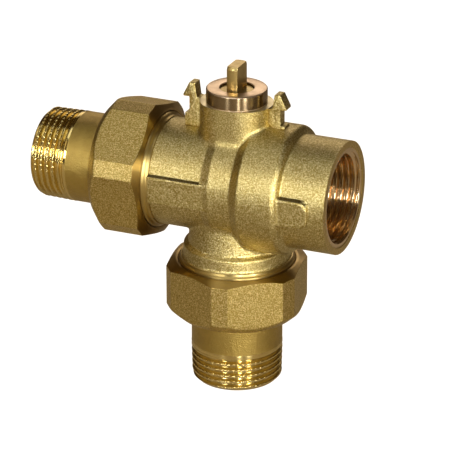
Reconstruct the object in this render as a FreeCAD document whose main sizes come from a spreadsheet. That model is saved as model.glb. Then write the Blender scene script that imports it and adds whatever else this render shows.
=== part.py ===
"""Three-way ball valve body with two pipe unions, made to carry a clip-on motor.

Lengths are in millimetres. The run lies along X, the third port points down and the stem
stands up along Z. The model's origin is the centre of the lower tailpiece's end.
"""
import FreeCAD, Part

import math
import os

import Sketcher

os.makedirs("parts", exist_ok=True)
doc = FreeCAD.newDocument("ThreeWayValve")

# Driving dimensions
SIZES = {
    # Forged body, distances along the run counted from the ball's centre
    "arm_radius": (19.3, "left arm"),
    "arm_step_start": (6.3, "left of the centre, where the arm begins to widen"),
    "arm_step_length": (3.3, "length of that small cone"),
    "mid_step": (1.1, "middle of the body beyond the arm"),
    "taper_start": (5.5, "right of the centre, where the chamber's cone begins"),
    "taper_length": (3.5, "length of the chamber's cone"),
    "chamber_step": (2.8, "chamber beyond the middle of the body"),
    "chamber_wall": (8.0, "chamber's end face past the seat's pocket"),
    "chamber_round": (2.6, "rounding of the chamber's end"),
    "port_wall": (3.68, "right port outside its thread"),
    "port_reach": (40.8, "mouth of the right port"),
    "branch_radius": (16.8, "lower branch"),
    "branch_drop": (4.0, "cast end of the lower branch below the chamber"),
    "flare_step": (3.2, "widening at the end of the lower branch"),
    "flare_length": (3.8, "cone at the end of the lower branch"),
    # Raised flats along both sides of the run
    "flat_width": (10.2, "height of the raised flats"),
    "flat_drop": (0.3, "centre of the flats below the run's axis"),
    "arm_flat_step": (0.45, "arm's flats outside the arm"),
    "port_flat_step": (1.0, "port's flats outside the port"),
    "port_flat_gap": (5.8, "from the port's flats to the mouth"),
    "flat_corner": (2.0, "rounding of their outer corners"),
    # Neck, pilot ring and snap hooks
    "neck_radius": (11.0, "round ends of the neck"),
    "neck_half_flat": (2.2, "from the centre to each round end's centre"),
    "neck_rise": (7.0, "turned shoulder of the neck above the chamber"),
    "pilot_inset": (0.15, "pilot ring inside the neck's round ends"),
    "pilot_height": (5.2, "pilot ring above the shoulder"),
    "pilot_bevel": (0.4, "bevel of its upper edge"),
    "hook_width": (4.5, "hooks across the run"),
    "hook_root": (1.2, "how far a hook's root reaches into the neck"),
    "hook_post": (4.1, "hook's post outside the neck"),
    "hook_foot": (1.7, "hook's foot outside its post"),
    "hook_foot_drop": (6.2, "top of a hook's foot below the shoulder"),
    "barb_drop": (0.1, "underside of a hook's barb below the shoulder"),
    "barb_reach": (2.3, "tip of a hook's barb outside its post"),
    "barb_lip": (0.7, "upright edge at the barb's tip"),
    "hook_gap": (1.2, "from the neck's end to a hook's inner face, at the shoulder"),
    "hook_top_width": (2.2, "flat on top of a hook"),
    # Threads, held as plain walls at their major radius
    "run_thread_radius": (16.62, "tailpieces and right socket"),
    "union_thread_radius": (20.95, "spigots under the union nuts"),
    "thread_lead": (1.2, "bevel at the start of a thread"),
    "socket_wall": (6.0, "from the seat's pocket to the right socket"),
    "mouth_bevel": (1.78, "wide bevel at the socket's mouth"),
    "left_reach": (39.3, "face of the left spigot"),
    "spigot_length": (13.4, "turned part of a spigot"),
    "relief_depth": (2.25, "groove between a spigot's thread and the casting"),
    "relief_width": (1.7, "width of that groove"),
    # Ball, seats and their pockets
    "ball_radius": (16.0, "ball"),
    "ball_wall": (6.0, "ball outside its waterway"),
    "ball_clearance": (0.6, "round the ball in the body"),
    "seat_clearance": (0.05, "between ball and seat"),
    "seat_way_step": (0.6, "seat's waterway beyond the ball's"),
    "seat_wall": (3.8, "seat ring from its waterway outwards"),
    "seat_depth": (6.8, "seat ring along the run"),
    "seat_step_height": (2.0, "step behind a seat for its ring"),
    "seat_step_width": (2.2, "width of that step"),
    "pocket_clearance": (0.05, "round a seat in its pocket"),
    "body_way_step": (1.0, "waterway through the body's walls beyond the ball's"),
    "retainer_length": (7.5, "seat retainer past the seat's pocket"),
    "retainer_groove": (1.9, "middle of the retainer's sealing groove past that pocket"),
    "retainer_groove_depth": (1.65, "depth of the groove"),
    "retainer_groove_width": (2.3, "width of the groove"),
    "slot_width": (4.0, "driving slots in the retainer"),
    "slot_depth": (3.0, "depth of the driving slots"),
    # Stem
    "stem_radius": (5.95, "stem in the pilot ring"),
    "stem_clearance": (0.05, "round the stem"),
    "stem_recess": (0.8, "stem's shoulder below the pilot's top"),
    "tang_inset": (1.2, "round edges of the tang inside the stem"),
    "tang_thickness": (4.0, "between the tang's flats"),
    "tang_rise": (8.7, "top of the tang above the pilot ring"),
    "tang_bevel": (1.1, "bevel of the tang's round edges"),
    "flange_step": (2.25, "flange that keeps the stem in, outside the stem"),
    "flange_gap": (1.4, "underside of the flange above the ball"),
    "flange_height": (2.6, "thickness of the flange"),
    "washer_height": (0.9, "thrust washer on the flange"),
    "flange_clearance": (0.3, "round the flange"),
    "tongue_width": (5.0, "tongue that turns the ball"),
    "tongue_length": (13.0, "tongue along the slot"),
    "tongue_depth": (2.4, "tongue below the ball's top"),
    "tongue_clearance": (0.1, "on each side of the tongue"),
    "slot_clearance": (0.3, "under the tongue in the ball's slot"),
    "low_ring_drop": (5.6, "lower sealing ring below the shoulder of the neck"),
    "high_ring_drop": (0.8, "upper sealing ring below that shoulder"),
    "stem_groove_depth": (1.65, "depth of the sealing grooves"),
    "stem_groove_width": (2.2, "width of the sealing grooves"),
    # Unions
    "nut_length": (20.2, "union nut"),
    "nut_wall": (2.63, "nut's flats outside its thread"),
    "nut_corner_half_width": (2.993, "half the width of its flattened corners"),
    "nut_face_inset": (1.48, "turned face at the open end, inside the flats"),
    "nut_face_slope": (2.12, "outward per length along that bevel"),
    "nut_back_inset": (1.88, "face at the tail end, inside the flats"),
    "nut_back_slope": (1.11, "outward per length along that bevel"),
    "nut_clearance": (0.05, "round the spigot's thread"),
    "nut_shoulder": (3.8, "wall that pulls the tailpiece"),
    "nut_hole_clearance": (0.35, "round the tailpiece"),
    "tail_length": (33.0, "tailpiece"),
    "tail_thread": (14.5, "thread on the tailpiece"),
    "tail_lead": (0.8, "bevel at the tailpiece's end"),
    "tail_neck_step": (0.2, "plain part of the tailpiece inside its thread"),
    "tail_wall": (3.82, "tailpiece outside its bore"),
    "tail_collar_inset": (2.05, "collar inside the nut's thread"),
    "tail_collar": (3.2, "thickness of the collar"),
    "gasket_height": (2.0, "gasket between collar and spigot"),
    # Casting fillets, and how far a cut or a root passes the surface it starts from
    "neck_fillet": (0.8, "foot of the neck"),
    "branch_fillet": (1.0, "root of the lower branch, left of the chamber"),
    "overlap": (1.0, "cuts and roots past their surface"),
}

# Turn of each nut about its own axis, in degrees
LOWER_NUT_TURN = 81.1
LEFT_NUT_TURN = 105.8
CORNERS = 6

sheet = doc.addObject("Spreadsheet::Sheet", "Sizes")
for row, (alias, (number, meaning)) in enumerate(SIZES.items(), start=1):
    sheet.set(f"A{row}", meaning)
    sheet.set(f"B{row}", str(number))
    sheet.setAlias(f"B{row}", alias)
doc.recompute()


class Length:
    """A length in terms of the sheet: the expression to bind, and its value today."""

    def __init__(self, text, value):
        self.text = text
        self.value = value

    def joined(self, sign, other, value):
        return Length(f"({self.text} {sign} {as_length(other).text})", value)

    def __add__(self, other):
        return self.joined("+", other, self.value + as_length(other).value)

    def __sub__(self, other):
        return self.joined("-", other, self.value - as_length(other).value)

    def __mul__(self, other):
        return self.joined("*", other, self.value * as_length(other).value)

    def __truediv__(self, other):
        return self.joined("/", other, self.value / as_length(other).value)

    def __neg__(self):
        return Length(f"(-1 * {self.text})", -self.value)


def as_length(number):
    return number if isinstance(number, Length) else Length(repr(float(number)), float(number))


size = {alias: Length(f"Sizes.{alias}", number) for alias, (number, meaning) in SIZES.items()}

# Ball, seats and waterways; the floor of a seat's pocket is level with the ball's side
ball_way = size["ball_radius"] - size["ball_wall"]
body_way = ball_way + size["body_way_step"]
seat_way = ball_way + size["seat_way_step"]
seat_radius = seat_way + size["seat_wall"]
seat_floor = size["ball_radius"]
seat_front = seat_floor - size["seat_depth"]
seat_step_radius = seat_radius - size["seat_step_height"]
cavity_radius = size["ball_radius"] + size["ball_clearance"]
retainer_end = seat_floor + size["retainer_length"]

# Outside of the body
mid_radius = size["arm_radius"] + size["mid_step"]
chamber_radius = mid_radius + size["chamber_step"]
chamber_end = seat_floor + size["chamber_wall"]
port_radius = size["run_thread_radius"] + size["port_wall"]
branch_end = chamber_radius + size["branch_drop"]
lower_reach = branch_end + size["spigot_length"]
relief_radius = size["union_thread_radius"] - size["relief_depth"]
ball_centre_height = lower_reach + size["gasket_height"] + size["tail_length"]

# Neck, ring, hooks and stem
neck_top = chamber_radius + size["neck_rise"]
neck_end = size["neck_half_flat"] + size["neck_radius"]
pilot_radius = size["neck_radius"] - size["pilot_inset"]
pilot_top = neck_top + size["pilot_height"]
hook_back = neck_end + size["hook_post"]
barb_height = neck_top - size["barb_drop"]
stem_bore_radius = size["stem_radius"] + size["stem_clearance"]
tang_radius = size["stem_radius"] - size["tang_inset"]
tang_top = pilot_top + size["tang_rise"]
flange_radius = size["stem_radius"] + size["flange_step"]
flange_bottom = size["ball_radius"] + size["flange_gap"]
flange_top = flange_bottom + size["flange_height"]
washer_seat = flange_top + size["washer_height"] + size["stem_clearance"]
tongue_bottom = size["ball_radius"] - size["tongue_depth"]
stem_groove_radius = size["stem_radius"] - size["stem_groove_depth"]
stem_groove_low = neck_top - size["low_ring_drop"]
stem_groove_high = neck_top - size["high_ring_drop"]

# Unions
nut_half_flats = size["union_thread_radius"] + size["nut_wall"]
tail_way = size["run_thread_radius"] - size["tail_wall"]
tail_neck_radius = size["run_thread_radius"] - size["tail_neck_step"]
tail_collar_radius = size["union_thread_radius"] - size["tail_collar_inset"]


def new_body(name, rotation=None):
    """A sub-part whose own origin is the ball's centre."""
    body = doc.addObject("PartDesign::Body", name)
    body.Label = name
    if rotation is not None:
        body.Placement = FreeCAD.Placement(FreeCAD.Vector(), rotation)
    body.setExpression("Placement.Base.z", ball_centre_height.text)
    return body


def sketch_on(body, name, plane):
    sketch = body.newObject("Sketcher::SketchObject", name)
    plane_feature = [item for item in body.Origin.OriginFeatures if item.Role == plane][0]
    sketch.AttachmentSupport = [(plane_feature, "")]
    sketch.MapMode = "FlatFace"
    return sketch


def place_point(sketch, edge, end, corner):
    """Hold one end of an edge at two lengths from the sketch's origin."""
    for kind, axis, length in zip(("DistanceX", "DistanceY"), (-2, -1), corner):
        length = as_length(length)
        if length.value == 0:
            sketch.addConstraint(Sketcher.Constraint("PointOnObject", edge, end, axis))
        else:
            held = sketch.addConstraint(Sketcher.Constraint(kind, -1, 1, edge, end, length.value))
            sketch.setExpression(f"Constraints[{held}]", length.text)


def outline(body, name, plane, corners):
    """Closed outline of straight runs through the corners."""
    sketch = sketch_on(body, name, plane)
    add_outline(sketch, corners)
    return sketch


def add_outline(sketch, corners):
    first = sketch.GeometryCount
    points = [FreeCAD.Vector(as_length(u).value, as_length(v).value, 0) for u, v in corners]
    count = len(points)
    for start, end in zip(points, points[1:] + points[:1]):
        sketch.addGeometry(Part.LineSegment(start, end))
    for index in range(count):
        after = first + (index + 1) % count
        sketch.addConstraint(Sketcher.Constraint("Coincident", first + index, 2, after, 1))
    for index, corner in enumerate(corners):
        place_point(sketch, first + index, 1, corner)


def turned(body, sketch, axis, cut=False):
    """Revolution, or a groove, of a sketch about its own H_Axis or V_Axis."""
    kind = "PartDesign::Groove" if cut else "PartDesign::Revolution"
    feature = body.newObject(kind, sketch.Name + ("Cut" if cut else "Solid"))
    feature.Profile = (sketch, [""])
    feature.ReferenceAxis = (sketch, [axis])
    feature.Angle = 360
    sketch.Visibility = False
    return feature


def padded(body, sketch, length, both_ways=False):
    feature = body.newObject("PartDesign::Pad", sketch.Name + "Pad")
    feature.Profile = (sketch, [""])
    feature.setExpression("Length", length.text)
    feature.Midplane = both_ways
    return feature


def pocketed(body, sketch, length, both_ways=False):
    feature = body.newObject("PartDesign::Pocket", sketch.Name + "Pocket")
    feature.Profile = (sketch, [""])
    feature.setExpression("Length", length.text)
    feature.Midplane = both_ways
    return feature


def edge_names(feature, wanted):
    return [f"Edge{n}" for n, edge in enumerate(feature.Shape.Edges, start=1) if wanted(edge)]


def dressed(body, kind, name, wanted, radius):
    """Fillet or chamfer on the edges of the body so far that are wanted."""
    doc.recompute()
    base = body.Tip
    names = edge_names(base, wanted)
    feature = body.newObject(kind, name)
    feature.Base = (base, names)
    feature.setExpression("Size" if kind.endswith("Chamfer") else "Radius", radius.text)
    doc.recompute()
    return feature


def spigot_corners(reach, cast_radius):
    """Half section of a threaded spigot, from its face inwards, as (distance, radius)."""
    shoulder = reach - size["spigot_length"]
    relief_end = shoulder + size["relief_width"]
    thread = size["union_thread_radius"]
    return [
        (reach, 0),
        (reach, thread - size["thread_lead"]),
        (reach - size["thread_lead"], thread),
        (relief_end + (thread - relief_radius) / 2, thread),
        (relief_end, relief_radius),
        (shoulder, relief_radius),
        (shoulder, cast_radius),
    ]


# Forged body
def make_valve_body():
    body = new_body("valve_body")
    step_end = size["arm_step_start"] - size["arm_step_length"]
    left_end = [(-x, r) for x, r in spigot_corners(size["left_reach"], size["arm_radius"])]
    run = outline(body, "Run", "XZ_Plane", left_end + [
        (-size["arm_step_start"], size["arm_radius"]),
        (-step_end, mid_radius),
        (size["taper_start"], mid_radius),
        (size["taper_start"] + size["taper_length"], chamber_radius),
        (chamber_end, chamber_radius),
        (chamber_end, port_radius),
        (size["port_reach"], port_radius),
        (size["port_reach"], 0),
    ])
    turned(body, run, "H_Axis")
    dressed(body, "PartDesign::Fillet", "ChamberRound", at_chamber_end, size["chamber_round"])

    flare_radius = size["branch_radius"] + size["flare_step"]
    lower_end = [(r, -z) for z, r in spigot_corners(lower_reach, flare_radius)]
    branch = outline(body, "Branch", "XZ_Plane", lower_end + [
        (size["branch_radius"], size["flare_length"] - branch_end),
        (size["branch_radius"], 0),
        (0, 0),
    ])
    turned(body, branch, "V_Axis")
    dressed(body, "PartDesign::Fillet", "BranchRoot", at_branch_root, size["branch_fillet"])

    make_neck(body)
    make_side_flats(body)
    make_hooks(body)
    bore_valve_body(body)
    return body


def at_branch_root(edge):
    """Where the branch's wall meets the run, left of the chamber's cone."""
    box = edge.BoundBox
    radius = size["branch_radius"].value
    on_wall = all(abs(math.hypot(p.x, p.y) - radius) < 0.01 for p in edge.discretize(7))
    left = box.XMax < size["taper_start"].value + 0.1
    return on_wall and left and box.ZMax < -0.5 and box.XLength + box.YLength > 0.1


def at_neck_foot(edge):
    """Where the neck's wall meets the run."""
    half_flat = size["neck_half_flat"].value
    radius = size["neck_radius"].value

    def on_wall(point):
        return abs(math.hypot(max(abs(point.x) - half_flat, 0), point.y) - radius) < 0.01

    box = edge.BoundBox
    overlap = size["overlap"].value
    low = overlap < box.ZMin and box.ZMax < neck_top.value - overlap
    return low and box.XLength + box.YLength > 0.1 and all(on_wall(p) for p in edge.discretize(5))


def at_chamber_end(edge):
    box = edge.BoundBox
    at_end = abs(box.XMin - chamber_end.value) < 0.01 and box.XLength < 0.01
    radius = chamber_radius.value
    return at_end and all(abs(math.hypot(p.y, p.z) - radius) < 0.01 for p in edge.discretize(5))


def make_neck(body):
    """Obround neck with its turned shoulder, and the pilot ring on top."""
    neck = sketch_on(body, "Neck", "XY_Plane")
    half_flat = size["neck_half_flat"]
    flat, radius = half_flat.value, size["neck_radius"].value
    up = FreeCAD.Vector(0, 0, 1)
    right = Part.ArcOfCircle(Part.Circle(FreeCAD.Vector(flat, 0, 0), up, radius), -math.pi / 2, math.pi / 2)
    left = Part.ArcOfCircle(Part.Circle(FreeCAD.Vector(-flat, 0, 0), up, radius), math.pi / 2, -math.pi / 2)
    neck.addGeometry(right)
    neck.addGeometry(Part.LineSegment(FreeCAD.Vector(flat, radius, 0), FreeCAD.Vector(-flat, radius, 0)))
    neck.addGeometry(left)
    neck.addGeometry(Part.LineSegment(FreeCAD.Vector(-flat, -radius, 0), FreeCAD.Vector(flat, -radius, 0)))
    for edge in range(4):
        neck.addConstraint(Sketcher.Constraint("Tangent", edge, 2, (edge + 1) % 4, 1))
    neck.addConstraint(Sketcher.Constraint("Horizontal", 1))
    place_point(neck, 0, 3, (half_flat, 0))
    place_point(neck, 2, 3, (-half_flat, 0))
    held = neck.addConstraint(Sketcher.Constraint("Radius", 0, radius))
    neck.setExpression(f"Constraints[{held}]", size["neck_radius"].text)
    padded(body, neck, neck_top)
    dressed(body, "PartDesign::Fillet", "NeckFoot", at_neck_foot, size["neck_fillet"])
    bevel = size["pilot_bevel"]
    pilot = outline(body, "Pilot", "XZ_Plane", [
        (0, neck_top - size["overlap"]),
        (pilot_radius, neck_top - size["overlap"]),
        (pilot_radius, pilot_top - bevel),
        (pilot_radius - bevel, pilot_top),
        (0, pilot_top),
    ])
    turned(body, pilot, "V_Axis")


def make_side_flats(body):
    """Raised flats on both sides: along the arm up to the chamber, and on the port."""
    low = -(size["flat_width"] / 2) - size["flat_drop"]
    high = size["flat_width"] / 2 - size["flat_drop"]
    arm_end = size["left_reach"] - size["spigot_length"]
    arm_flat = outline(body, "ArmFlat", "XZ_Plane", [
        (-arm_end, low), (size["taper_start"], low), (size["taper_start"], high), (-arm_end, high)])
    padded(body, arm_flat, (size["arm_radius"] + size["arm_flat_step"]) * 2, both_ways=True)
    start = chamber_end - size["taper_length"]
    end = size["port_reach"] - size["port_flat_gap"]
    cut = size["flat_corner"]
    port_flat = outline(body, "PortFlat", "XZ_Plane", [
        (start, low), (end - cut, low), (end, low + cut),
        (end, high - cut), (end - cut, high), (start, high)])
    padded(body, port_flat, (port_radius + size["port_flat_step"]) * 2, both_ways=True)


def make_hooks(body):
    """Two snap hooks that hold the motor, one at each end of the neck."""
    root = neck_end - size["hook_root"]
    inside_arm = size["arm_radius"] / 2
    foot, foot_top = hook_back + size["hook_foot"], neck_top - size["hook_foot_drop"]
    sketch = sketch_on(body, "Hooks", "XZ_Plane")
    tip = hook_back + size["barb_reach"]
    profile = [
        (root, inside_arm),
        (foot, inside_arm),
        (foot, foot_top),
        (hook_back, foot_top),
        (hook_back, barb_height),
        (tip, barb_height),
        (tip, barb_height + size["barb_lip"]),
        (hook_back, pilot_top),
        (hook_back - size["hook_top_width"], pilot_top),
        (neck_end + size["hook_gap"], neck_top),
        (root, neck_top),
    ]
    add_outline(sketch, profile)
    add_outline(sketch, [(-x, z) for x, z in profile])
    padded(body, sketch, size["hook_width"], both_ways=True)


def bore_valve_body(body):
    """Waterways, ball chamber, right seat pocket, socket and stem bore."""
    pocket = seat_radius + size["pocket_clearance"]
    socket_floor = seat_floor + size["socket_wall"]
    run = outline(body, "RunBore", "XZ_Plane", [
        (-size["left_reach"], 0),
        (-size["left_reach"], cavity_radius),
        (seat_front, cavity_radius),
        (seat_front, pocket),
        (seat_floor, pocket),
        (seat_floor, body_way),
        (socket_floor, body_way),
        (socket_floor, size["run_thread_radius"]),
        (size["port_reach"] - size["mouth_bevel"], size["run_thread_radius"]),
        (size["port_reach"], size["run_thread_radius"] + size["mouth_bevel"]),
        (size["port_reach"], 0),
    ])
    turned(body, run, "H_Axis", cut=True)
    lower = outline(body, "LowerBore", "XZ_Plane", [
        (0, 0), (body_way, 0), (body_way, -lower_reach), (0, -lower_reach)])
    turned(body, lower, "V_Axis", cut=True)
    flange_bore = flange_radius + size["flange_clearance"]
    stem = outline(body, "StemBore", "XZ_Plane", [
        (0, 0), (flange_bore, 0), (flange_bore, washer_seat), (stem_bore_radius, washer_seat),
        (stem_bore_radius, pilot_top), (0, pilot_top)])
    turned(body, stem, "V_Axis", cut=True)


# Stem and its seals
def make_stem():
    body = new_body("stem")
    groove_half = size["stem_groove_width"] / 2
    corners = [
        (0, tongue_bottom),
        (size["tongue_length"] / 2, tongue_bottom),
        (size["tongue_length"] / 2, flange_bottom),
        (flange_radius, flange_bottom),
        (flange_radius, flange_top),
        (size["stem_radius"], flange_top),
    ]
    for middle in (stem_groove_low, stem_groove_high):
        corners += [
            (size["stem_radius"], middle - groove_half),
            (stem_groove_radius, middle - groove_half),
            (stem_groove_radius, middle + groove_half),
            (size["stem_radius"], middle + groove_half),
        ]
    shoulder = pilot_top - size["stem_recess"]
    corners += [
        (size["stem_radius"], shoulder),
        (tang_radius, shoulder),
        (tang_radius, tang_top - size["tang_bevel"]),
        (tang_radius - size["tang_bevel"] / 2, tang_top),
        (0, tang_top),
    ]
    turned(body, outline(body, "StemShape", "XZ_Plane", corners), "V_Axis")
    half = size["tang_thickness"] / 2
    outer = size["stem_radius"] + size["overlap"]
    above = tang_top + size["overlap"]
    tang = sketch_on(body, "TangFlats", "XZ_Plane")
    for side in (1, -1):
        near, far = (half, outer) if side == 1 else (-half, -outer)
        add_outline(tang, [(near, shoulder), (far, shoulder), (far, above), (near, above)])
    pocketed(body, tang, outer * 2, both_ways=True)
    tongue_half = size["tongue_width"] / 2
    reach = flange_radius + size["overlap"]
    below = tongue_bottom - size["overlap"]
    tongue = sketch_on(body, "TongueFlats", "YZ_Plane")
    for side in (1, -1):
        near, far = (tongue_half, reach) if side == 1 else (-tongue_half, -reach)
        add_outline(tongue, [
            (near, below), (far, below), (far, flange_bottom), (near, flange_bottom)])
    pocketed(body, tongue, reach * 2, both_ways=True)
    return body


def make_stem_washer():
    body = new_body("stem_thrust_washer")
    ring = outline(body, "Washer", "XZ_Plane", [
        (stem_bore_radius, flange_top), (flange_radius, flange_top),
        (flange_radius, flange_top + size["washer_height"]),
        (stem_bore_radius, flange_top + size["washer_height"])])
    turned(body, ring, "V_Axis")
    return body


def make_ring(name, radius, section, distance, axis):
    """Sealing ring of round section about the stem's axis or the run's."""
    ring = doc.addObject("Part::Torus", name)
    ring.Label = name
    ring.setExpression("Radius1", radius.text)
    ring.setExpression("Radius2", section.text)
    if axis == "Z":
        ring.setExpression("Placement.Base.z", (ball_centre_height + distance).text)
    else:
        ring.Placement.Rotation = FreeCAD.Rotation(FreeCAD.Vector(0, 1, 0), 90)
        ring.setExpression("Placement.Base.x", distance.text)
        ring.setExpression("Placement.Base.z", ball_centre_height.text)
    return ring


def make_stem_rings():
    gap = size["stem_clearance"] / 2
    section = (stem_bore_radius - stem_groove_radius) / 2 - gap
    radius = stem_groove_radius + gap + section
    return [
        make_ring("stem_oring_lower", radius, section, stem_groove_low, "Z"),
        make_ring("stem_oring_upper", radius, section, stem_groove_high, "Z"),
    ]


# Ball
def make_ball():
    """Ball with three waterways that meet in its middle, and a slot for the stem's tongue."""
    ball = doc.addObject("Part::Sphere", "BallShape")
    ball.setExpression("Radius", size["ball_radius"].text)
    tools = []
    directions = {
        "WayDown": FreeCAD.Rotation(FreeCAD.Vector(1, 0, 0), 180),
        "WayRight": FreeCAD.Rotation(FreeCAD.Vector(0, 1, 0), 90),
        "WayBack": FreeCAD.Rotation(FreeCAD.Vector(1, 0, 0), -90),
    }
    for name, rotation in directions.items():
        way = doc.addObject("Part::Cylinder", name)
        way.setExpression("Radius", ball_way.text)
        way.setExpression("Height", (size["ball_radius"] + size["overlap"]).text)
        way.Placement.Rotation = rotation
        tools.append(way)
    middle = doc.addObject("Part::Sphere", "WayMiddle")
    middle.setExpression("Radius", ball_way.text)
    tools.append(middle)
    slot = doc.addObject("Part::Box", "BallSlot")
    slot_width = size["tongue_width"] + size["tongue_clearance"] * 2
    slot.setExpression("Length", (size["ball_radius"] * 2).text)
    slot.setExpression("Width", slot_width.text)
    slot.setExpression("Height", size["ball_radius"].text)
    slot.setExpression("Placement.Base.x", (-size["ball_radius"]).text)
    slot.setExpression("Placement.Base.y", (-(slot_width / 2)).text)
    slot.setExpression("Placement.Base.z", (tongue_bottom - size["slot_clearance"]).text)
    tools.append(slot)
    cutter = doc.addObject("Part::MultiFuse", "BallCutter")
    cutter.Shapes = tools
    body = doc.addObject("Part::Cut", "ball")
    body.Base = ball
    body.Tool = cutter
    body.Label = "ball"
    body.setExpression("Placement.Base.z", ball_centre_height.text)
    return body


# Seats
def make_seat(side, sign):
    """Plastic ring that the ball turns against; sign is 1 on the right and -1 on the left."""
    body = new_body(f"seat_{side}")
    back = seat_floor
    corners = [
        (seat_front, seat_way),
        (seat_front, seat_radius),
        (back - size["seat_step_width"], seat_radius),
        (back - size["seat_step_width"], seat_step_radius),
        (back, seat_step_radius),
        (back, seat_way),
    ]
    ring = outline(body, f"Seat{side.title()}", "XZ_Plane", [(x * sign, r) for x, r in corners])
    turned(body, ring, "H_Axis")
    hollow = body.newObject("PartDesign::SubtractiveSphere", f"Seat{side.title()}Hollow")
    hollow.setExpression("Radius", (size["ball_radius"] + size["seat_clearance"]).text)
    return body


def make_seat_rings():
    wall = seat_radius + size["pocket_clearance"]
    gap = size["pocket_clearance"]
    section = (wall - seat_step_radius) / 2 - gap
    radius = seat_step_radius + gap + section
    middle = seat_floor - size["seat_step_width"] / 2
    return [
        make_ring("seat_oring_right", radius, section, middle, "X"),
        make_ring("seat_oring_left", radius, section, -middle, "X"),
    ]


def make_seat_retainer():
    """Threaded ring that closes the ball's chamber and holds the left seat."""
    body = new_body("seat_retainer")
    pocket = seat_radius + size["pocket_clearance"]
    outer = cavity_radius - size["pocket_clearance"]
    groove, half_groove = seat_floor + size["retainer_groove"], size["retainer_groove_width"] / 2
    groove_floor = cavity_radius - size["pocket_clearance"] - size["retainer_groove_depth"]
    corners = [
        (seat_front, pocket),
        (seat_front, outer),
        (groove - half_groove, outer),
        (groove - half_groove, groove_floor),
        (groove + half_groove, groove_floor),
        (groove + half_groove, outer),
        (retainer_end, outer),
        (retainer_end, body_way),
        (seat_floor, body_way),
        (seat_floor, pocket),
    ]
    ring = outline(body, "Retainer", "XZ_Plane", [(-x, r) for x, r in corners])
    turned(body, ring, "H_Axis")
    half = size["slot_width"] / 2
    floor = retainer_end - size["slot_depth"]
    slot = outline(body, "RetainerSlot", "XZ_Plane", [
        (-floor, -half), (-retainer_end, -half), (-retainer_end, half), (-floor, half)])
    pocketed(body, slot, (cavity_radius + size["overlap"]) * 2, both_ways=True)
    return body


def make_retainer_ring():
    gap = size["pocket_clearance"]
    section = (gap + size["retainer_groove_depth"]) / 2 - gap
    radius = cavity_radius - gap - section
    return make_ring("retainer_oring", radius, section, -(seat_floor + size["retainer_groove"]), "X")


# Unions, drawn along their own +Z from the ball's centre
def make_union(side, reach, rotation, nut_turn):
    """Nut, tailpiece and gasket of one union."""
    collar_start = reach + size["gasket_height"]
    collar_end = collar_start + size["tail_collar"]
    tail_end = collar_start + size["tail_length"]
    thread = size["run_thread_radius"]

    gasket = new_body(f"union_gasket_{side}", rotation)
    ring = outline(gasket, f"Gasket{side.title()}", "XZ_Plane", [
        (tail_way, reach), (tail_collar_radius, reach),
        (tail_collar_radius, collar_start), (tail_way, collar_start)])
    turned(gasket, ring, "V_Axis")

    tail = new_body(f"tailpiece_{side}", rotation)
    thread_start = tail_end - size["tail_thread"]
    run_out = thread - tail_neck_radius
    shape = outline(tail, f"Tail{side.title()}", "XZ_Plane", [
        (tail_way, collar_start),
        (tail_collar_radius, collar_start),
        (tail_collar_radius, collar_end),
        (tail_neck_radius, collar_end),
        (tail_neck_radius, thread_start),
        (thread, thread_start + run_out),
        (thread, tail_end - size["tail_lead"]),
        (thread - size["tail_lead"], tail_end),
        (tail_way, tail_end),
    ])
    turned(tail, shape, "V_Axis")

    turn = FreeCAD.Rotation(FreeCAD.Vector(0, 0, 1), nut_turn)
    return [gasket, tail, make_nut(side, collar_end, rotation.multiply(turn))]


def make_nut(side, shoulder_face, rotation):
    """Union nut: hexagon with flattened corners, turned bevels, thread bore and shoulder."""
    nut = new_body(f"union_nut_{side}", rotation)
    title = f"Nut{side.title()}"
    back = shoulder_face + size["nut_shoulder"]
    front = back - size["nut_length"]
    step = 2 * math.pi / CORNERS
    half_width = size["nut_corner_half_width"]
    half_corners = (nut_half_flats - half_width * math.sin(step / 2)) / math.cos(step / 2)
    corners = []
    for corner in range(CORNERS):
        along, across = math.cos(corner * step), math.sin(corner * step)
        for half in (-half_width, half_width):
            corners.append((half_corners * along - half * across, half_corners * across + half * along))
    hexagon = outline(nut, title, "XY_Plane", corners)
    hexagon.setExpression("AttachmentOffset.Base.z", front.text)
    padded(nut, hexagon, size["nut_length"])

    outside = half_corners + size["overlap"]
    face, face_slope = nut_half_flats - size["nut_face_inset"], size["nut_face_slope"]
    open_end = outline(nut, title + "OpenBevel", "XZ_Plane", [
        (face, front), (outside, front), (outside, front + (outside - face) / face_slope)])
    turned(nut, open_end, "V_Axis", cut=True)
    rim, back_slope = nut_half_flats - size["nut_back_inset"], size["nut_back_slope"]
    tail_end = outline(nut, title + "TailBevel", "XZ_Plane", [
        (rim, back), (outside, back), (outside, back - (outside - rim) / back_slope)])
    turned(nut, tail_end, "V_Axis", cut=True)

    thread = size["union_thread_radius"] + size["nut_clearance"]
    hole = size["run_thread_radius"] + size["nut_hole_clearance"]
    lead = size["thread_lead"] / 2
    bore = outline(nut, title + "Bore", "XZ_Plane", [
        (0, front), (thread + lead, front), (thread, front + lead), (thread, shoulder_face),
        (hole, shoulder_face), (hole, back), (0, back)])
    turned(nut, bore, "V_Axis", cut=True)
    return nut


def make_unions():
    down = FreeCAD.Rotation(FreeCAD.Vector(1, 0, 0), 180)
    left = FreeCAD.Rotation(FreeCAD.Vector(0, 1, 0), -90)
    lower = make_union("lower", lower_reach, down, LOWER_NUT_TURN)
    return lower + make_union("left", size["left_reach"], left, LEFT_NUT_TURN)


sub_parts = [make_valve_body(), make_stem(), make_stem_washer(), make_ball()]
sub_parts += make_stem_rings() + make_seat_rings()
sub_parts += [make_seat("right", 1), make_seat("left", -1), make_seat_retainer(), make_retainer_ring()]
sub_parts += make_unions()
doc.recompute()

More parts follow.
